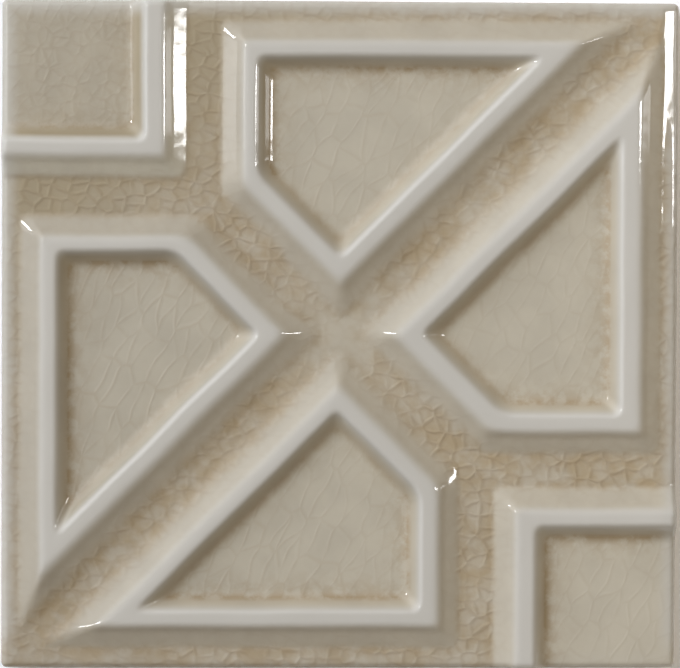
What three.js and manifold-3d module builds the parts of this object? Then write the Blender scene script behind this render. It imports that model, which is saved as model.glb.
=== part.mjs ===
// Relief-moulded crackle glaze wall tile, lying on its flat back with its glazed face up.
// Millimetres. The origin is the middle of the back, +X runs to the tile's right and +Y to its top.
//
// Raised bands of one section stand on the level ground of the face. Four of them frame four-sided
// panels around the middle of the tile, parted by two crossing diagonal channels. The other two frame
// squares in opposite corners, whose floors run out to the tile's edges.

import * as THREE from 'three';
import { ConvexGeometry } from 'three/addons/geometries/ConvexGeometry.js';
import { mergeVertices } from 'three/addons/utils/BufferGeometryUtils.js';
import Module from 'manifold-3d';

const wasm = await Module();
wasm.setup();

// Blank
const tileWidth = 152;
const tileDepth = 150;
const groundThickness = 7.1; // back to the channels and the sunk floors
const cornerRadius = 1.3; // in plan
const edgeRadius = 1.5; // top edge, pressed round
const backChamfer = 0.6; // bottom edge, broken so that it doesn't chip

// Section of a raised band, from the channel inwards
const reliefHeight = 2.9;
const straightFlankWidth = 5.7; // sloping outer side along a straight channel or the tile's edge
const diagonalFlankWidth = 7.3; // and along a diagonal channel
const flankBendHeight = 1.15; // over the ground, where the flank grows steeper
const flankBendPlace = 0.53; // share of the flank's width that lies outside the bend
const crestWidth = 2.3; // nearly level top
const wallWidth = 3; // steep inner side, down to the sunk floor

// Roundings of the section, as shares of the stretches on either side of each bend
const footRounding = 0.38;
const flankBendRounding = 0.32;
const shoulderRounding = 0.26;
const lipRounding = 0.22;
const wallFootRounding = 0.6;

// Plan of the pattern, measured to the feet of the bands
const edgeMargin = 4.2; // from the tile's edge to a panel
const diagonalChannelWidth = 4.7;
const straightChannelWidth = 8.1; // between a corner square and a panel
const cornerSquareReach = 34.7; // from the tile's middle lines to a corner square

// Facets of the round edges
const edgeSegments = 4;
const cornerSegments = 4;
const bendSegments = 3;

// What only helps the cuts: how deep a band is bedded in the blank, and how far a cutter runs past
const bedDepth = edgeRadius + 1;
const overrun = 1;

const glaze = new THREE.MeshStandardMaterial({
  name: 'crackle glaze',
  color: new THREE.Color('#ada494'),
  roughness: 0.22,
  metalness: 0,
});

// Closed geometry to a solid that can be cut and joined, and back

function toSolid(geometry) {
  geometry.deleteAttribute('normal');
  geometry.deleteAttribute('uv');
  const welded = mergeVertices(geometry);
  return new wasm.Manifold(new wasm.Mesh({
    numProp: 3,
    vertProperties: new Float32Array(welded.attributes.position.array),
    triVerts: new Uint32Array(welded.index.array),
  }));
}

function toGeometry(solid) {
  const mesh = solid.getMesh();
  const geometry = new THREE.BufferGeometry();
  geometry.setAttribute('position', new THREE.BufferAttribute(mesh.vertProperties, 3));
  geometry.setIndex(new THREE.BufferAttribute(mesh.triVerts, 1));
  geometry.computeVertexNormals();
  return geometry;
}

const join = (solids) => solids.reduce((whole, solid) => whole.add(solid));

// A straight-sided outline in plan is a list of sides, anticlockwise. A side's outward normal stands at
// an angle from +X, and its line lies at a reach from the tile's middle, measured along that normal.

const side = (degrees, reach) => ({ degrees, reach });

// The same outline on the other side of the tile's middle
const opposite = (sides) => sides.map(({ degrees, reach }) => side(degrees + 180, reach));

const isDiagonal = ({ degrees }) => degrees % 90 !== 0;

// A level of a solid: how many flank widths lie between it and the outline, how many millimetres lie
// beyond those, and its height over the back. So one list of levels fits flanks of any width.
const level = (flanks, inset, height) => new THREE.Vector3(flanks, inset, height);

function insetOf(current, { x: flanks, y: inset }) {
  const flankWidth = isDiagonal(current) ? diagonalFlankWidth : straightFlankWidth;
  return flanks * flankWidth + inset;
}

function normalOf({ degrees }) {
  const angle = THREE.MathUtils.degToRad(degrees);
  return new THREE.Vector2(Math.cos(angle), Math.sin(angle));
}

// Point where two neighbouring sides meet once both have moved inwards to a level
function cornerOf(first, second, at) {
  const a = normalOf(first);
  const b = normalOf(second);
  const reachA = first.reach - insetOf(first, at);
  const reachB = second.reach - insetOf(second, at);
  const x = (reachA * b.y - reachB * a.y) / a.cross(b);
  const y = (reachB * a.x - reachA * b.x) / a.cross(b);
  return new THREE.Vector3(x, y, at.z);
}

// Convex solid with mitred corners, through the outline drawn at each level
function mound(sides, levels) {
  const nextTo = (index) => sides[(index + 1) % sides.length];
  const cornersAt = (at) => sides.map((current, index) => cornerOf(current, nextTo(index), at));
  return toSolid(new ConvexGeometry(levels.flatMap(cornersAt)));
}

// The same where the levels don't make a convex solid: a stack of slices
function stack(sides, levels) {
  return join(levels.slice(1).map((next, index) => mound(sides, [levels[index], next])));
}

// Blank of a given thickness: rounded plan corners, round top edge, chamfered bottom edge

function cornerPrism(thickness) {
  const x = tileWidth / 2 - cornerRadius;
  const y = tileDepth / 2 - cornerRadius;
  const outline = new THREE.Shape();
  outline.absarc(x, y, cornerRadius, 0, Math.PI / 2);
  outline.absarc(-x, y, cornerRadius, Math.PI / 2, Math.PI);
  outline.absarc(-x, -y, cornerRadius, Math.PI, 1.5 * Math.PI);
  outline.absarc(x, -y, cornerRadius, 1.5 * Math.PI, 2 * Math.PI);
  const prism = new THREE.ExtrudeGeometry(outline, {
    depth: thickness + 2 * overrun,
    bevelEnabled: false,
    curveSegments: cornerSegments,
  });
  return toSolid(prism.translate(0, 0, -overrun));
}

function blank(thickness) {
  const sides = [
    side(0, tileWidth / 2),
    side(90, tileDepth / 2),
    side(180, tileWidth / 2),
    side(270, tileDepth / 2),
  ];
  const quarter = new THREE.EllipseCurve(edgeRadius, thickness - edgeRadius, edgeRadius, edgeRadius,
    Math.PI, Math.PI / 2, true);
  const roundEdge = quarter.getPoints(edgeSegments).map(({ x, y }) => level(0, x, y));
  const slab = mound(sides, [level(0, backChamfer, 0), level(0, 0, backChamfer), ...roundEdge]);
  return slab.intersect(cornerPrism(thickness));
}

// Raised band along the inside of an outline, around a sunk floor. Its section is straight stretches
// between rounded bends: the channel, the flank's two slopes, the crest, the wall and the floor.

const crestHeight = groundThickness + reliefHeight;
const bedHeight = groundThickness - bedDepth;
const channel = level(-flankBendPlace, 0, groundThickness);
const foot = level(0, 0, groundThickness);
const flankBend = level(flankBendPlace, 0, groundThickness + flankBendHeight);
const shoulder = level(1, 0, crestHeight);
const lip = level(1, crestWidth, crestHeight);
const wallFoot = level(1, crestWidth + wallWidth, groundThickness);
const floor = level(1, crestWidth + 2 * wallWidth, groundThickness);

// Levels around a bend, which leave each stretch beside it by a parabola after the rounding's share
function rounded(before, bend, after, rounding) {
  const start = bend.clone().lerp(before, rounding);
  const end = bend.clone().lerp(after, rounding);
  return new THREE.QuadraticBezierCurve3(start, bend, end).getPoints(bendSegments);
}

const atHeight = ({ x, y }, height) => level(x, y, height);

function bandMound(sides) {
  const outerFoot = rounded(channel, foot, flankBend, footRounding);
  return stack(sides, [
    atHeight(outerFoot[0], bedHeight),
    ...outerFoot,
    ...rounded(foot, flankBend, shoulder, flankBendRounding),
    ...rounded(flankBend, shoulder, lip, shoulderRounding),
  ]);
}

function bandHollow(sides) {
  const mouth = rounded(shoulder, lip, wallFoot, lipRounding);
  const innerFoot = rounded(lip, wallFoot, floor, wallFootRounding);
  return stack(sides, [
    atHeight(mouth[0], crestHeight + overrun),
    ...mouth,
    ...innerFoot,
    atHeight(innerFoot.at(-1), bedHeight - overrun),
  ]);
}

const band = (sides) => bandMound(sides).subtract(bandHollow(sides));

// Outlines of the pattern. A corner square runs past the tile's edges by more than a whole band, so
// the tile keeps only the two bands that face its middle.

const diagonalReach = -diagonalChannelWidth / 2;
const straightReach = cornerSquareReach - straightChannelWidth;
const pastEdge = 2 * (diagonalFlankWidth + crestWidth + wallWidth);

const topPanel = [
  side(-45, diagonalReach),
  side(90, tileDepth / 2 - edgeMargin),
  side(180, straightReach),
  side(225, diagonalReach),
];
const rightPanel = [
  side(-135, diagonalReach),
  side(-90, straightReach),
  side(0, tileWidth / 2 - edgeMargin),
  side(135, diagonalReach),
];
const topLeftSquare = [
  side(0, -cornerSquareReach),
  side(90, tileDepth / 2 + pastEdge),
  side(180, tileWidth / 2 + pastEdge),
  side(270, -cornerSquareReach),
];
const outlines = [topPanel, rightPanel, topLeftSquare].flatMap((sides) => [sides, opposite(sides)]);

const relief = join(outlines.map(band)).intersect(blank(crestHeight));
const tile = new THREE.Mesh(toGeometry(blank(groundThickness).add(relief)), glaze);
tile.name = 'glazed_tile';

const group = new THREE.Group();
group.add(tile);

export default group;
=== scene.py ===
import math

import bpy
import numpy as np
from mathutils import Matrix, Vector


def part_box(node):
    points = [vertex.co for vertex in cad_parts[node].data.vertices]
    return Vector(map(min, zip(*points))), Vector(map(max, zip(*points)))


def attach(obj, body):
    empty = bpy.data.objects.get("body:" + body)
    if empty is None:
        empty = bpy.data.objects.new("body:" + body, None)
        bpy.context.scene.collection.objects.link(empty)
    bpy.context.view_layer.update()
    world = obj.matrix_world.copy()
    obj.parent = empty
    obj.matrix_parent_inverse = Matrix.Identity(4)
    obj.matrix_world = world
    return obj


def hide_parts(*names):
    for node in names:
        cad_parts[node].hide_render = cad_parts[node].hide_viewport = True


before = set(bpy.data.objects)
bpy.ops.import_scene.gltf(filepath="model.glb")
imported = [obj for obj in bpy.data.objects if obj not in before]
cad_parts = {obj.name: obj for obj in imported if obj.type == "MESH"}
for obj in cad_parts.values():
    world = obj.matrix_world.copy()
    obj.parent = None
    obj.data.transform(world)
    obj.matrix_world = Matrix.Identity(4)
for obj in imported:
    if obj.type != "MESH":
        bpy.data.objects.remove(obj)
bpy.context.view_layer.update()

# Relief tile with a crackle glaze, lying on its back. Sizes in the dictionaries are millimetres, and
# angles are degrees, unless a name says otherwise. mm turns a size into Blender's metres.
mm = 0.001

tileShape = {
    "groundThickness": 7.1,
    "edgeRadius": 1.5,
    "cornerRadius": 1.3,
    "backChamfer": 0.6,
    # sides of the raised outlines: direction of the outer side, its reach from the tile's middle, how
    # far the inner wall lies inside it, and how much the flank bulges. The last two are the corner
    # squares, which run on far past the tile's edges.
    "outlines": [
        [(-45, -3.9, 9.8, 0.0), (90, 71.2, 9.9, 0.0), (180, 27.1, 9.7, 0.0), (225, -3.9, 9.6, 0.0)],
        [(135, -3.5, 9.1, 0.0), (270, 70.8, 10.4, -0.2), (0, 27.1, 10.4, 0.2), (45, -3.9, 9.6, 0.0)],
        [(225, -4.3, 10.2, 0.0), (270, 26.8, 10.5, 0.0), (0, 72.5, 10.9, 0.2), (135, -4.3, 9.6, 0.0)],
        [(45, -4.3, 9.7, 0.0), (90, 27.2, 9.7, 0.0), (180, 72.4, 10.2, 0.0), (315, -4.6, 9.9, 0.0)],
        [(0, -34.1, 11.3, -0.08), (90, 150, 10.2, 0.0), (180, 150, 10.2, 0.0), (270, -34.6, 10.3, 0.0)],
        [(180, -34.3, 11.0, 0.0), (270, 150, 10.2, 0.0), (0, 150, 10.2, 0.0), (90, -33.7, 10.3, 0.0)],
    ],
    "topLeftSquare": 4,  # which of the outlines it is
    # insets where a flank starts, where its stained foot lies and where it ends
    "straightFlank": (-0.7, -0.1, 6.9),
    "diagonalFlank": (-3.2, -1.4, 6.5),
    "crestHeight": 2.9,
    # bends of a flank in shares of its width: place, slope after it, half length of the rounding
    "straightBends": [(0.12, 0.36, 0.05), (0.60, 0.68, 0.07), (0.90, 0.0, 0.08)],
    "diagonalBends": [(0.15, 0.36, 0.15), (0.55, 0.62, 0.12), (0.90, 0.0, 0.08)],
    # the same for the inner wall, in millimetres past its place
    "wallBends": [(-1.50, 1.15, 0.50), (0.40, 0.45, 1.30), (2.10, 0.0, 1.00)],
    "mitreRounding": 2.2,
    "mitreShare": 0.38,  # of that rounding, in height
    # the right rim sags near its upper end: bends where the slope starts and ends, as place across and
    # half length of the rounding, then the middle of the sag along the rim, its half length, its slope
    "sagStart": (72.3, 0.4),
    "sagEnd": (74.7, 0.2),
    "sagMiddle": 62.0,
    "sagReach": 22.0,
    "sagSlope": 0.265,
    # unevenness of a hand-pressed tile: size of the waves, their length and how many are added up
    "wobble": (0.06, 24.0, 10),
    "ripple": (0.018, 15.0, 10),
    "dimple": (0.003, 2.6, 40),
}
tileMesh = {
    "step": 0.52,
    "edgeTurns": 6,
    "sideRows": 6,
    "seed": 7,
}
# Where the areas of the glaze lie. A pair is where an area starts and where it is full, or where it
# starts to fade and where it is gone.
glazeAreas = {
    # shares of the flank climbed
    "crestStart": (0.62, 0.93),
    # distances past the foot of a band
    "straightChannelEnd": (-0.5, 1.6),
    "diagonalChannelEnd": (-0.5, 3.6),
    "flankStart": (-0.5, 1.9),
    "cornerFlankStart": (0.0, 1.5),
    "footStainWidth": 1.3,
    # distances past the inner wall
    "crestEnd": (-1.8, 0.0),
    "flankEnd": (-1.4, 0.0),
    "cornerFlankEnd": (-2.0, 0.0),
    "floorStart": (0.2, 2.2),
    "wallStainPlace": 0.9,
    "wallStainWidth": 1.2,
    "floorStainStart": (0.4, 1.4),
    "floorStainReach": 2.7,
    "diagonalFloorStain": 0.4,  # share of it that is left along a diagonal wall
    # distances from the tile's edge, and along it where the rim's pale line fades near the bottom, which
    # is painted shade on the bottom edge that faces away from the light
    "rimEnd": (0.8, 4.6),
    "rimBottomShade": (-73.0, -66.0),
    "rimLeft": 0.2,
    # distances from the tile's middle: towards its upper left corner, and all round
    "cornerStart": (35.0, 75.0),
    "middleReach": 14.0,
    # in x less y, which is nothing along the middle of the channel that climbs to the right
    "risingReach": 16.0,
}


def easedRamp(distance, rounding):
    # nothing before minus the rounding, then a parabola, then a straight climb after plus the rounding
    reach = np.clip(distance + rounding, 0.0, 2.0 * rounding)
    return reach * reach / (4.0 * rounding) + np.maximum(distance - rounding, 0.0)


def easedStep(value, low, high):
    share = np.clip((value - low) / (high - low), 0.0, 1.0)
    return share * share * (3.0 - 2.0 * share)


def bell(distance, reach):
    return np.exp(-(distance / reach) ** 2)


def smoothMin(first, second, blend):
    # the smaller of the two, with the crease rounded where they come within the blend of each other
    overlap = np.maximum(blend - np.abs(first - second), 0.0) / blend
    return np.minimum(first, second) - overlap * overlap * blend / 4.0


def waves(x, y, size, wavelength, count, random):
    # a sum of cosine waves in random directions, with lengths around the wavelength
    surface = np.zeros_like(x)
    for _ in range(count):
        heading = random.uniform(0.0, 2.0 * math.pi)
        turn = 2.0 * math.pi / (wavelength * random.uniform(0.7, 1.6))
        phase = random.uniform(0.0, 2.0 * math.pi)
        surface += np.cos(turn * (x * math.cos(heading) + y * math.sin(heading)) + phase)
    return size * surface * math.sqrt(2.0 / count)


def bentHeight(along, bends):
    # stretches of even slope joined by parabolas, up to the height of the crest
    height = np.zeros_like(along)
    rise = 0.0
    slope = 0.0
    for index, (start, nextSlope, rounding) in enumerate(bends):
        height += (nextSlope - slope) * easedRamp(along - start, rounding)
        slope = nextSlope
        if index + 1 < len(bends):
            rise += slope * (bends[index + 1][0] - start)
    return height * tileShape["crestHeight"] / rise


def bandFields(x, y, sides):
    # for one outline: distance past the nearest foot, share of the flank climbed, distance past the
    # inner wall, height of the flank, and one where the nearest side is straight, not diagonal
    rounding = tileShape["mitreRounding"]
    fields = None
    for angle, reach, wall, bulge in sides:
        heading = math.radians(angle)
        inset = reach - x * math.cos(heading) - y * math.sin(heading)
        kind = "straight" if angle % 90 == 0 else "diagonal"
        start, foot, end = tileShape[kind + "Flank"]
        climbed = (inset - start) / (end - start)
        onFlank = np.clip(climbed, 0.0, 1.0)
        climbed = climbed + bulge * onFlank * (1.0 - onFlank)
        flank = bentHeight(climbed, tileShape[kind + "Bends"])
        here = [inset - foot, climbed, inset - wall, flank]
        straight = np.full_like(x, float(kind == "straight"))
        if fields is None:
            fields, straightness = here, straight
            continue
        straightness = np.where(here[0] < fields[0], straight, straightness)
        blends = [rounding, rounding / (end - start), rounding, rounding * tileShape["mitreShare"]]
        fields = [smoothMin(*each) for each in zip(fields, here, blends)]
    return fields + [straightness]


def rimSag(x, y):
    # the rim tips outwards between the two bends, most of all at the middle of the sag
    start, startRounding = tileShape["sagStart"]
    end, endRounding = tileShape["sagEnd"]
    drop = easedRamp(x - start, startRounding) - easedRamp(x - end, endRounding)
    return tileShape["sagSlope"] * drop * bell(y - tileShape["sagMiddle"], tileShape["sagReach"])


def reliefFields(x, y, halfWidth, halfDepth):
    # height of the relief above the ground, and the masks that the glaze reads
    random = np.random.default_rng(tileMesh["seed"])
    atX = x + waves(x, y, *tileShape["wobble"], random)
    atY = y + waves(x, y, *tileShape["wobble"], random)
    relief = np.zeros_like(x)
    areas = glazeAreas
    # these start below any real value and then keep the greatest one that an outline gives
    footPast, climb, wallPast, straightness = (np.full_like(x, -1e3) for _ in range(4))
    for index, sides in enumerate(tileShape["outlines"]):
        pastFoot, climbed, pastWall, flank, straight = bandFields(atX, atY, sides)
        relief += np.maximum(flank, 0.0) - bentHeight(pastWall, tileShape["wallBends"])
        straightness = np.where(pastFoot > footPast, straight, straightness)
        footPast = np.maximum(footPast, pastFoot)
        climb = np.maximum(climb, climbed)
        wallPast = np.maximum(wallPast, pastWall)
        if index == tileShape["topLeftSquare"]:
            cornerFlank = easedStep(pastFoot, *areas["cornerFlankStart"])
            cornerFlank = cornerFlank * (1.0 - easedStep(pastWall, *areas["cornerFlankEnd"]))
    relief = relief - rimSag(x, y)
    relief = relief + waves(x, y, *tileShape["ripple"], random)
    relief = relief + waves(x, y, *tileShape["dimple"], random)

    straightEnd = 1.0 - easedStep(footPast, *areas["straightChannelEnd"])
    diagonalEnd = 1.0 - easedStep(footPast, *areas["diagonalChannelEnd"])
    pastStain = np.maximum(wallPast - areas["floorStainStart"][1], 0.0)
    floorStain = easedStep(wallPast, *areas["floorStainStart"])
    floorStain = floorStain * np.exp(-pastStain / areas["floorStainReach"])
    diagonalShare = areas["diagonalFloorStain"]
    fromEdge = np.minimum(halfWidth - np.abs(x), halfDepth - np.abs(y))
    # along the bottom edge the pale rim keeps only a share of itself: painted shade there
    rimShare = areas["rimLeft"] + (1.0 - areas["rimLeft"]) * easedStep(y, *areas["rimBottomShade"])
    masks = {
        "crest": easedStep(climb, *areas["crestStart"]) * (1.0 - easedStep(wallPast, *areas["crestEnd"])),
        "sunkFloor": easedStep(wallPast, *areas["floorStart"]),
        "channel": np.where(straightness > 0.5, straightEnd, diagonalEnd),
        "flank": easedStep(footPast, *areas["flankStart"]) * (
            1.0 - easedStep(wallPast, *areas["flankEnd"])),
        "cornerFlank": cornerFlank,
        "wallStain": bell(wallPast - areas["wallStainPlace"], areas["wallStainWidth"]),
        "floorStain": floorStain * (diagonalShare + (1.0 - diagonalShare) * straightness),
        "footStain": bell(footPast, areas["footStainWidth"]),
        "rim": (1.0 - easedStep(fromEdge, *areas["rimEnd"])) * rimShare,
        "corner": easedStep((y - x) / math.sqrt(2.0), *areas["cornerStart"]),
        "middle": bell(np.hypot(x, y), areas["middleReach"]),
        "rising": bell(x - y, areas["risingReach"]),
    }
    return relief, masks


def edgePositions(half, radius):
    # places from edge to edge of the tile, and how far the surface has turned over the edge at each
    turns = np.linspace(0.0, math.pi / 2, tileMesh["edgeTurns"] + 1)[1:]
    flatHalf = half - radius
    count = int(round(2 * flatHalf / tileMesh["step"]))
    flat = np.linspace(-flatHalf, flatHalf, count + 1)
    over = flatHalf + radius * np.sin(turns)
    places = np.concatenate([-over[::-1], flat, over])
    turned = np.concatenate([turns[::-1], np.zeros(count + 1), turns])
    return places, turned


def roundCorners(x, y, halfWidth, halfDepth, radius):
    # inside each corner square, the square is mapped onto a quarter disc
    s = np.clip((np.abs(x) - halfWidth + radius) / radius, 0.0, 1.0)
    t = np.clip((np.abs(y) - halfDepth + radius) / radius, 0.0, 1.0)
    newX = np.where(s > 0, halfWidth - radius + radius * s * np.sqrt(1.0 - t * t / 2.0), np.abs(x))
    newY = np.where(t > 0, halfDepth - radius + radius * t * np.sqrt(1.0 - s * s / 2.0), np.abs(y))
    return np.sign(x) * newX, np.sign(y) * newY


def tileFace(halfWidth, halfDepth):
    # a grid of points over the face, turned down all round at the edge, and the masks at each point
    edgeRadius = tileShape["edgeRadius"]
    placesX, turnedX = edgePositions(halfWidth, edgeRadius)
    placesY, turnedY = edgePositions(halfDepth, edgeRadius)
    gridX, gridY = np.meshgrid(placesX, placesY)
    x, y = roundCorners(gridX, gridY, halfWidth, halfDepth, tileShape["cornerRadius"])
    relief, masks = reliefFields(x, y, halfWidth, halfDepth)
    lift = np.cos(turnedX)[None, :] * np.cos(turnedY)[:, None]
    z = tileShape["groundThickness"] + relief - edgeRadius * (1.0 - lift)
    return np.stack([x, y, z], axis=-1), masks


def tileSide(edge, halfWidth, halfDepth):
    # rings of points that hang from the face's edge, the last of which steps in under the chamfer
    x, y, z = edge.T
    chamfer = tileShape["backChamfer"]
    shares = np.linspace(0.0, 1.0, tileMesh["sideRows"] + 1)[1:]
    rings = [np.stack([x, y, z + (chamfer - z) * share], axis=-1) for share in shares]
    shrinkX = 1.0 - chamfer / halfWidth
    shrinkY = 1.0 - chamfer / halfDepth
    rings.append(np.stack([x * shrinkX, y * shrinkY, np.zeros_like(z)], axis=-1))
    return rings


def makeTile(low, high):
    halfWidth = (high[0] - low[0]) / 2 / mm
    halfDepth = (high[1] - low[1]) / 2 / mm
    face, masks = tileFace(halfWidth, halfDepth)
    rows, columns = face.shape[:2]
    face = face.reshape(-1, 3)
    index = np.arange(rows * columns).reshape(rows, columns)
    faceQuads = np.stack([index[:-1, :-1], index[:-1, 1:], index[1:, 1:], index[1:, :-1]], axis=-1)
    outline = np.concatenate([index[0, :-1], index[:-1, -1], index[-1, :0:-1], index[:0:-1, 0]])
    rings = tileSide(face[outline], halfWidth, halfDepth)
    points = np.concatenate([face, *rings])

    ringStarts = len(face) + np.arange(len(rings))[:, None] * len(outline)
    rounds = np.concatenate([outline[None, :], ringStarts + np.arange(len(outline))[None, :]])
    upper, lower = rounds[:-1], rounds[1:]
    nextUpper, nextLower = np.roll(upper, -1, axis=1), np.roll(lower, -1, axis=1)
    sideQuads = np.stack([upper, lower, nextLower, nextUpper], axis=-1)
    quads = np.concatenate([faceQuads.reshape(-1, 4), sideQuads.reshape(-1, 4)])
    back = rounds[-1][::-1]

    mesh = bpy.data.meshes.new("crackleTile")
    mesh.from_pydata((points * mm).tolist(), [], quads.tolist() + [back.tolist()])
    # flat are the back, which has the second material, and the chamfer around it
    smooth = np.ones(len(mesh.polygons), dtype=bool)
    smooth[-len(outline) - 1:] = False
    mesh.polygons.foreach_set("use_smooth", smooth)
    slots = np.zeros(len(mesh.polygons), dtype=np.int32)
    slots[-1] = 1
    mesh.polygons.foreach_set("material_index", slots)
    for name, mask in masks.items():
        onFace = mask.ravel()
        values = np.concatenate([onFace, np.tile(onFace[outline], len(rings))])
        attribute = mesh.attributes.new(name, "FLOAT", "POINT")
        attribute.data.foreach_set("value", values.astype(np.float32))
    mesh.update()
    tile = bpy.data.objects.new("crackleTile", mesh)
    bpy.context.scene.collection.objects.link(tile)
    print("tile mesh:", rows, "by", columns, "points on the face")
    return tile


# Node helpers: a value is a number, a tuple or another node's output

def setInput(tree, socket, value):
    if isinstance(value, bpy.types.NodeSocket):
        tree.links.new(value, socket)
    else:
        socket.default_value = value


def addNode(tree, kind, inputs=None, **settings):
    node = tree.nodes.new(kind)
    for name, value in settings.items():
        setattr(node, name, value)
    for name, value in (inputs or {}).items():
        setInput(tree, node.inputs[name], value)
    return node


def calculate(tree, operation, first, second=0.0, clamp=False):
    node = addNode(tree, "ShaderNodeMath", {0: first, 1: second}, operation=operation, use_clamp=clamp)
    return node.outputs[0]


def product(tree, first, *others):
    for other in others:
        first = calculate(tree, "MULTIPLY", first, other)
    return first


def total(tree, first, *others):
    for other in others:
        first = calculate(tree, "ADD", first, other)
    return first


def without(tree, value, mask, share=1.0):
    # the value less a share of the mask
    return calculate(tree, "SUBTRACT", value, product(tree, mask, share))


def vectorMath(tree, operation, inputs):
    return addNode(tree, "ShaderNodeVectorMath", inputs, operation=operation).outputs["Vector"]


def mixColour(tree, share, first, second):
    node = addNode(tree, "ShaderNodeMix", data_type="RGBA", blend_type="MIX")
    setInput(tree, node.inputs["Factor"], share)
    setInput(tree, node.inputs[6], first)
    setInput(tree, node.inputs[7], second)
    return node.outputs[2]


def mapRange(tree, value, low, high, toLow=0.0, toHigh=1.0):
    node = addNode(tree, "ShaderNodeMapRange", {
        "Value": value, "From Min": low, "From Max": high, "To Min": toLow, "To Max": toHigh,
    }, interpolation_type="SMOOTHSTEP")
    return node.outputs["Result"]


def noise(tree, vector, scale, detail, roughness):
    node = addNode(tree, "ShaderNodeTexNoise", {
        "Vector": vector, "Scale": scale, "Detail": detail, "Roughness": roughness,
    })
    return node.outputs


def newGroup(name, inputs, outputs):
    group = bpy.data.node_groups.new(name, "ShaderNodeTree")
    for label, kind, value in inputs:
        socket = group.interface.new_socket(label, in_out="INPUT", socket_type=kind)
        if value is not None:
            socket.default_value = value
    for label, kind in outputs:
        group.interface.new_socket(label, in_out="OUTPUT", socket_type=kind)
    entry = group.nodes.new("NodeGroupInput")
    leave = group.nodes.new("NodeGroupOutput")
    return group, entry.outputs, leave.inputs


def useGroup(tree, group, inputs):
    return addNode(tree, "ShaderNodeGroup", inputs, node_tree=group).outputs


def newMaterial(name, settings):
    material = bpy.data.materials.new(name)
    material.use_nodes = True
    tree = material.node_tree
    shader = tree.nodes["Principled BSDF"]
    for label, value in settings.items():
        shader.inputs[label].default_value = value
    return material, tree, shader


def crazingGroup():
    # cracks are the edges of Voronoi cells whose plane is turned, stretched and pushed about by noise
    number = "NodeSocketFloat"
    group, given, result = newGroup("glazeCrazing", [
        ("Position", "NodeSocketVector", None),
        ("Cell Size", number, 4.0),
        ("Heading", number, 0.0),
        ("Stretch", number, 1.0),
        ("Wander", number, 0.5),
        ("Wander Size", number, 6.0),
        ("Wander Detail", number, 1.0),
        ("Randomness", number, 1.0),
        ("Line Width", number, 0.15),
        ("Lip Width", number, 0.6),
    ], [("Line", number), ("Lip", number), ("Cell", number)])
    wanderScale = calculate(group, "DIVIDE", 1.0, given["Wander Size"])
    drift = noise(group, given["Position"], wanderScale, given["Wander Detail"], 0.5)["Color"]
    centred = vectorMath(group, "SUBTRACT", {0: drift, 1: (0.5, 0.5, 0.5)})
    push = vectorMath(group, "SCALE", {0: centred, "Scale": given["Wander"]})
    moved = vectorMath(group, "ADD", {0: given["Position"], 1: push})
    heading = calculate(group, "RADIANS", given["Heading"])
    turned = addNode(group, "ShaderNodeVectorRotate", {"Vector": moved, "Angle": heading},
                     rotation_type="Z_AXIS").outputs[0]
    length = product(group, given["Cell Size"], given["Stretch"])
    scales = addNode(group, "ShaderNodeCombineXYZ", {
        "X": calculate(group, "DIVIDE", 1.0, length),
        "Y": calculate(group, "DIVIDE", 1.0, given["Cell Size"]),
    }).outputs[0]
    plane = vectorMath(group, "MULTIPLY", {0: turned, 1: scales})
    cellInputs = {"Vector": plane, "Scale": 1.0, "Randomness": given["Randomness"]}
    edges = addNode(group, "ShaderNodeTexVoronoi", cellInputs, voronoi_dimensions="2D",
                    feature="DISTANCE_TO_EDGE")
    cells = addNode(group, "ShaderNodeTexVoronoi", cellInputs, voronoi_dimensions="2D", feature="F1")
    distance = product(group, edges.outputs["Distance"], given["Cell Size"])
    setInput(group, result["Line"], mapRange(group, distance, 0.0, given["Line Width"], 1.0, 0.0))
    setInput(group, result["Lip"], mapRange(group, distance, 0.0, given["Lip Width"], 1.0, 0.0))
    parts = addNode(group, "ShaderNodeSeparateColor", {"Color": cells.outputs["Color"]})
    setInput(group, result["Cell"], parts.outputs["Red"])
    return group


# In the glaze's dictionary, a noise is its scale, its detail and its roughness. A range is two values
# of what it reads, and what they become.
glazeLook = {
    "floor": (0.422, 0.379, 0.295, 1.0),
    "channel": (0.400, 0.350, 0.266, 1.0),
    "channelStain": (0.335, 0.262, 0.160, 1.0),
    "flank": (0.388, 0.342, 0.262, 1.0),
    "cornerFlank": (0.484, 0.442, 0.347, 1.0),
    "stain": (0.285, 0.212, 0.120, 1.0),
    "cornerWash": (0.328, 0.268, 0.169, 1.0),
    "crest": (0.466, 0.442, 0.392, 1.0),
    "rim": (0.465, 0.443, 0.392, 1.0),
    # the brown of the cracks, which on the small cracks also stands for their painted shadow
    "crack": (0.230, 0.160, 0.085, 1.0),
    "clay": (0.560, 0.450, 0.330, 1.0),
    "gloss": 0.07,
    # noises
    "cloud": (0.12, 3.0, 0.5),
    "blotch": (0.35, 3.0, 0.6),
    "mottle": (0.20, 3.0, 0.55),
    "fading": (0.22, 2.0, 0.5),
    # how strongly the stain shows at the foot of the inner wall, on the floor and at the foot of a band
    "wallStain": 0.42,
    "floorStain": 0.50,
    "footStain": 0.26,
    "patches": (0.36, 0.62, 0.15, 1.25),
    "channelPatches": (0.28, 0.76, 0.0, 1.0),
    "cellContrast": 0.05,
    # what the middle of the tile loses of the channel's colour and of its stain
    "paleMiddle": 0.7,
    "cleanMiddle": 0.8,
    "floorOutOfWash": 0.75,
    "cornerFlankShare": 0.95,
    "rimShare": 0.7,
    # clouds, and the drift of the tones from left to right
    "cloudShade": (0.3, 0.7, 0.935, 1.005),
    "shadePerMillimetre": 0.0014,
    "crestShade": (10.0, 70.0, 1.0, 1.09),
    # the clay is bare below a ragged line
    "bareHeight": 1.6,
    "bareBlend": 0.15,
    "ragged": (0.2, 0.8, -0.6, 0.6),
}
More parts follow.
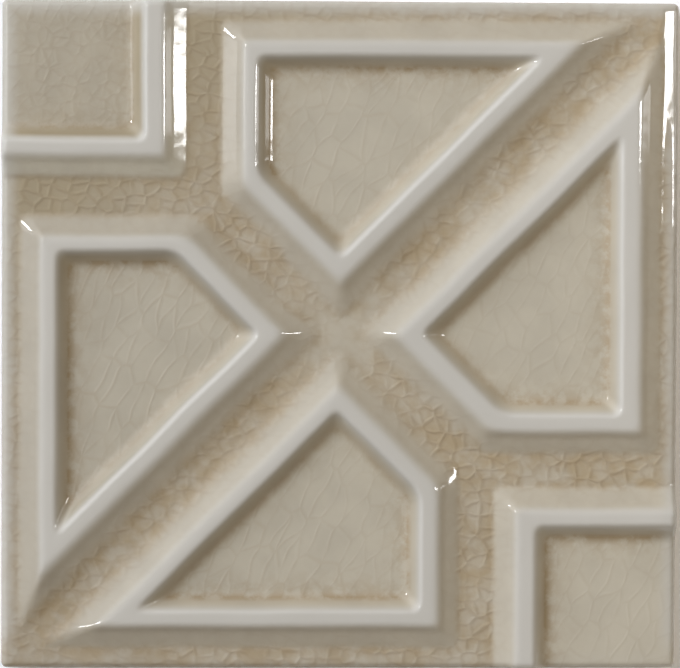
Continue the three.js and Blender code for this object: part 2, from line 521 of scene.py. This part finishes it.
crackLook = {
    # small rounded cells in the channels, and long leaning ones on the floors
    "smallCells": {
        "Cell Size": 2.75, "Heading": 12.0, "Stretch": 1.2, "Wander": 1.3, "Wander Size": 3.2,
        "Wander Detail": 1.0, "Randomness": 0.85, "Line Width": 0.8, "Lip Width": 0.62,
    },
    "longCells": {
        "Cell Size": 3.3, "Heading": -62.0, "Stretch": 2.3, "Wander": 3.6, "Wander Size": 9.0,
        "Wander Detail": 1.0, "Randomness": 1.0, "Line Width": 0.30, "Lip Width": 0.6,
    },
    # how far the small cracks' brown line is moved, towards the lower right and away from the light, as
    # stain and painted shadow of each crack's lip
    "stainAndShadowAside": (-0.50, 0.28, 0.0),
    "line": 0.21,
    "rise": 0.088,
    # how strongly the small cells show outside the channels, and what they lose elsewhere
    "onFlank": 0.2,
    "onCornerFloor": 0.45,
    "lostOnRim": 0.7,
    "lostInMiddle": 0.4,
    "lostOnRising": 0.3,
    # how strongly the long cells show, from left to right, and what they lose on the corner's floor
    "longOnFloor": (-65.0, 30.0, 0.62, 0.38),
    "longLostInCorner": 0.5,
    "fadingRange": (0.36, 0.58, 0.45, 1.0),
}


def glazeColour(tree, masks, position, across, blotch, cellTone):
    # the glaze without its cracks: a colour for each area, then what has pooled on it, then its shade
    look = glazeLook
    inChannel = product(tree, masks["channel"], without(tree, 1.0, masks["middle"], look["paleMiddle"]))
    colour = mixColour(tree, inChannel, look["floor"], look["channel"])
    colour = mixColour(tree, masks["flank"], colour, look["flank"])
    colour = mixColour(tree, product(tree, masks["cornerFlank"], look["cornerFlankShare"]), colour,
                       look["cornerFlank"])

    mottle = total(tree, noise(tree, position, *look["mottle"])["Fac"],
                   product(tree, cellTone, look["cellContrast"]))
    stainedChannel = calculate(
        tree, "MULTIPLY", without(tree, masks["channel"], masks["middle"], look["cleanMiddle"]),
        mapRange(tree, mottle, *look["channelPatches"]), clamp=True)
    colour = mixColour(tree, stainedChannel, colour, look["channelStain"])
    patches = mapRange(tree, blotch, *look["patches"])
    pooled = total(tree, product(tree, masks["wallStain"], look["wallStain"]),
                   product(tree, masks["floorStain"], look["floorStain"], patches),
                   product(tree, masks["footStain"], look["footStain"], patches))
    colour = mixColour(tree, pooled, colour, look["stain"])
    outOfWash = calculate(tree, "ADD", masks["flank"],
                          product(tree, masks["sunkFloor"], look["floorOutOfWash"]), clamp=True)
    washed = product(tree, masks["corner"], without(tree, 1.0, outOfWash))
    colour = mixColour(tree, washed, colour, look["cornerWash"])

    cloud = noise(tree, position, *look["cloud"])["Fac"]
    shade = total(tree, mapRange(tree, cloud, *look["cloudShade"]),
                  product(tree, across, look["shadePerMillimetre"]))
    colour = vectorMath(tree, "SCALE", {0: colour, "Scale": shade})
    crest = vectorMath(tree, "SCALE", {
        0: look["crest"][:3], "Scale": mapRange(tree, across, *look["crestShade"]),
    })
    colour = mixColour(tree, masks["crest"], colour, crest)
    # the pale rim, faded into painted shade along the bottom edge
    return mixColour(tree, product(tree, masks["rim"], look["rimShare"]), colour, look["rim"])


def crackShares(tree, masks, position, across):
    # how strongly the small cells and the long ones show: no crack crosses a crest
    look = crackLook
    fading = mapRange(tree, noise(tree, position, *glazeLook["fading"])["Fac"], *look["fadingRange"])
    cornerFloor = product(tree, masks["sunkFloor"], masks["corner"])
    places = total(tree, masks["channel"], product(tree, masks["flank"], look["onFlank"]),
                   product(tree, cornerFloor, look["onCornerFloor"]))
    inland = without(tree, 1.0, masks["rim"], look["lostOnRim"])
    outer = without(tree, 1.0, masks["middle"], look["lostInMiddle"])
    outer = without(tree, outer, masks["rising"], look["lostOnRising"])
    small = product(tree, places, without(tree, 1.0, masks["crest"]), fading, inland, outer)
    floor = without(tree, masks["sunkFloor"], cornerFloor, look["longLostInCorner"])
    long = product(tree, floor, fading, mapRange(tree, across, *look["longOnFloor"]))
    return small, long


def glazeMaterial(crazing):
    # the stained body lies under a smooth clear coat, so the cracks don't break up its reflections
    material, tree, shader = newMaterial("crackleGlaze", {
        "Roughness": 0.8, "Specular IOR Level": 0.0, "Coat Roughness": glazeLook["gloss"],
        "Coat IOR": 1.5,
    })
    place = addNode(tree, "ShaderNodeTexCoord").outputs["Object"]
    position = vectorMath(tree, "SCALE", {0: place, "Scale": 1.0 / mm})
    apart = addNode(tree, "ShaderNodeSeparateXYZ", {"Vector": position}).outputs
    names = ("crest", "sunkFloor", "channel", "flank", "cornerFlank", "wallStain", "floorStain",
             "footStain", "rim", "corner", "middle", "rising")
    masks = {name: addNode(tree, "ShaderNodeAttribute", attribute_name=name).outputs["Fac"]
             for name in names}

    small = useGroup(tree, crazing, {"Position": position, **crackLook["smallCells"]})
    long = useGroup(tree, crazing, {"Position": position, **crackLook["longCells"]})
    # the small cracks' brown line is drawn off to the side away from the upper left, so it is stain and
    # also painted shadow of each crack's lip
    stainAndShadowPlace = vectorMath(tree, "ADD", {0: position, 1: crackLook["stainAndShadowAside"]})
    stainAndShadowCracks = useGroup(tree, crazing, {"Position": stainAndShadowPlace, **crackLook["smallCells"]})
    smallShare, longShare = crackShares(tree, masks, position, apart["X"])

    blotch = noise(tree, position, *glazeLook["blotch"])["Fac"]
    colour = glazeColour(tree, masks, position, apart["X"], blotch, small["Cell"])
    # crack lines: stain on the long cracks, stain and painted shadow on the small ones
    line = total(tree, product(tree, stainAndShadowCracks["Line"], smallShare), product(tree, long["Line"], longShare))
    colour = mixColour(tree, product(tree, line, crackLook["line"]), colour, glazeLook["crack"])
    ragged = total(tree, apart["Z"], mapRange(tree, blotch, *glazeLook["ragged"]))
    bareHeight, blend = glazeLook["bareHeight"], glazeLook["bareBlend"]
    glazed = mapRange(tree, ragged, bareHeight - blend, bareHeight + blend)
    setInput(tree, shader.inputs["Base Color"], mixColour(tree, glazed, glazeLook["clay"], colour))
    setInput(tree, shader.inputs["Coat Weight"], glazed)

    lip = total(tree, product(tree, small["Lip"], smallShare), product(tree, long["Lip"], longShare))
    bump = addNode(tree, "ShaderNodeBump", {
        "Strength": 1.0, "Distance": crackLook["rise"] * mm, "Height": lip,
    })
    setInput(tree, shader.inputs["Normal"], bump.outputs[0])
    print("glaze material made")
    return material


clayLook = {
    "pale": (0.60, 0.49, 0.37, 1.0),
    "dark": (0.50, 0.40, 0.29, 1.0),
    # noises: scale per metre, detail and roughness
    "tone": (60.0, 3.0, 0.5),
    "toneRange": (0.3, 0.7),
    "grain": (900.0, 4.0, 0.65),
    "grainHeight": 0.08,
}


def clayMaterial():
    material, tree, shader = newMaterial("bareClay", {"Roughness": 0.9, "IOR": 1.45})
    place = addNode(tree, "ShaderNodeTexCoord").outputs["Object"]
    grain = noise(tree, place, *clayLook["grain"])["Fac"]
    tone = mapRange(tree, noise(tree, place, *clayLook["tone"])["Fac"], *clayLook["toneRange"])
    setInput(tree, shader.inputs["Base Color"], mixColour(tree, tone, clayLook["dark"], clayLook["pale"]))
    bump = addNode(tree, "ShaderNodeBump", {
        "Strength": 0.6, "Distance": clayLook["grainHeight"] * mm, "Height": grain,
    })
    setInput(tree, shader.inputs["Normal"], bump.outputs[0])
    return material


cameraView = {
    "place": (-20.3, 18.3, 711.5),
    "turn": (-1.47, -1.638, 0.256),
    "lens": 166.1,
}
studio = {
    "floorSize": 4000.0,
    "floorColour": (0.93, 0.93, 0.93, 1.0),
    "backdrop": (0.90, 0.90, 0.90, 1.0),
    "skyColour": (1.0, 0.875, 0.72, 1.0),
    "ambient": 0.17,
    # the glow that the glaze mirrors
    "sheenColour": (0.96, 0.99, 1.0, 1.0),
    "sheen": 2.6,
    "sheenFocus": 4.0,
    "sheenAzimuth": 148.0,
    "sheenElevation": 40.0,
    # name, azimuth from +X anticlockwise, elevation, distance, shift in y, width, height, watts, and
    # how it is used: light on the body of the glaze, warm light on it, or only what the coat mirrors
    "lamps": [
        ("softbox", 146.0, 35.0, 2400.0, 0.0, 2200.0, 2200.0, 84.0, "body"),
        ("rightFill", 0.0, 54.0, 2200.0, 175.0, 400.0, 1650.0, 16.0, "warm"),
        ("rightStrip", 0.0, 53.5, 2200.0, 178.0, 120.0, 540.0, 5.8, "mirror"),
        ("rightStripEnd", 0.0, 24.0, 2200.0, 175.0, 110.0, 800.0, 1.3, "mirror"),
        ("cornerSpot", 160.0, 53.0, 2200.0, 0.0, 220.0, 220.0, 5.0, "mirror"),
        ("leftGlow", 180.0, 48.0, 2200.0, 178.0, 150.0, 600.0, 0.6, "mirror"),
    ],
    "bodyColour": (0.94, 1.0, 1.12),
    "warmColour": (1.0, 0.92, 0.80),
    "mirrorColour": (1.0, 1.0, 1.0),
}


def makeCamera():
    data = bpy.data.cameras.new("photoCamera")
    data.lens = cameraView["lens"]
    data.clip_start = 0.01
    camera = bpy.data.objects.new("photoCamera", data)
    camera.location = [value * mm for value in cameraView["place"]]
    camera.rotation_euler = [math.radians(value) for value in cameraView["turn"]]
    bpy.context.scene.collection.objects.link(camera)
    bpy.context.scene.camera = camera


def towards(azimuth, elevation):
    turn, rise = math.radians(azimuth), math.radians(elevation)
    return math.cos(rise) * math.cos(turn), math.cos(rise) * math.sin(turn), math.sin(rise)


def makeLamps():
    for name, azimuth, elevation, distance, shift, width, length, watts, use in studio["lamps"]:
        data = bpy.data.lights.new(name, "AREA")
        data.shape = "RECTANGLE"
        data.size = width * mm
        data.size_y = length * mm
        data.energy = watts
        data.color = studio[use + "Colour"]
        light = bpy.data.objects.new(name, data)
        x, y, z = towards(azimuth, elevation)
        light.location = (distance * x * mm, (distance * y + shift) * mm, distance * z * mm)
        light.rotation_euler = (math.radians(90.0 - elevation), 0.0, math.radians(90.0 + azimuth))
        light.visible_glossy = use == "mirror"
        light.visible_diffuse = use != "mirror"
        bpy.context.scene.collection.objects.link(light)


def makeSky():
    # an even sky, in which the glaze mirrors a wide glow that fades with the angle from its middle
    world = bpy.data.worlds.new("studioSky")
    world.use_nodes = True
    tree = world.node_tree
    background = tree.nodes["Background"]
    direction = addNode(tree, "ShaderNodeTexCoord").outputs["Generated"]
    facing = addNode(tree, "ShaderNodeVectorMath", {
        0: direction, 1: towards(studio["sheenAzimuth"], studio["sheenElevation"]),
    }, operation="DOT_PRODUCT").outputs["Value"]
    glow = calculate(tree, "POWER", calculate(tree, "MAXIMUM", facing, 0.0), studio["sheenFocus"])
    path = addNode(tree, "ShaderNodeLightPath").outputs
    mirrored = product(tree, glow, studio["sheen"], path["Is Glossy Ray"])
    strength = total(tree, mirrored, studio["ambient"])
    colour = mixColour(tree, path["Is Glossy Ray"], studio["skyColour"], studio["sheenColour"])
    setInput(tree, background.inputs["Color"], mixColour(tree, path["Is Camera Ray"], colour,
                                                         studio["backdrop"]))
    seen = addNode(tree, "ShaderNodeMix", {"Factor": path["Is Camera Ray"], "A": strength, "B": 1.0})
    setInput(tree, background.inputs["Strength"], seen.outputs["Result"])
    bpy.context.scene.world = world


def makeFloor():
    half = studio["floorSize"] / 2 * mm
    corners = [(-half, -half, 0.0), (half, -half, 0.0), (half, half, 0.0), (-half, half, 0.0)]
    mesh = bpy.data.meshes.new("studioFloor")
    mesh.from_pydata(corners, [], [(0, 1, 2, 3)])
    floor = bpy.data.objects.new("studioFloor", mesh)
    bpy.context.scene.collection.objects.link(floor)
    material, tree, shader = newMaterial("paleFloor", {
        "Base Color": studio["floorColour"], "Roughness": 0.9, "Specular IOR Level": 0.1,
    })
    mesh.materials.append(material)


makeCamera()
makeLamps()
makeSky()
makeFloor()
print("studio made")

tile = makeTile(*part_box("glazed_tile"))
tile.data.materials.append(glazeMaterial(crazingGroup()))
tile.data.materials.append(clayMaterial())
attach(tile, "root")
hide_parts("glazed_tile")

bpy.context.scene.view_settings.view_transform = "Standard"
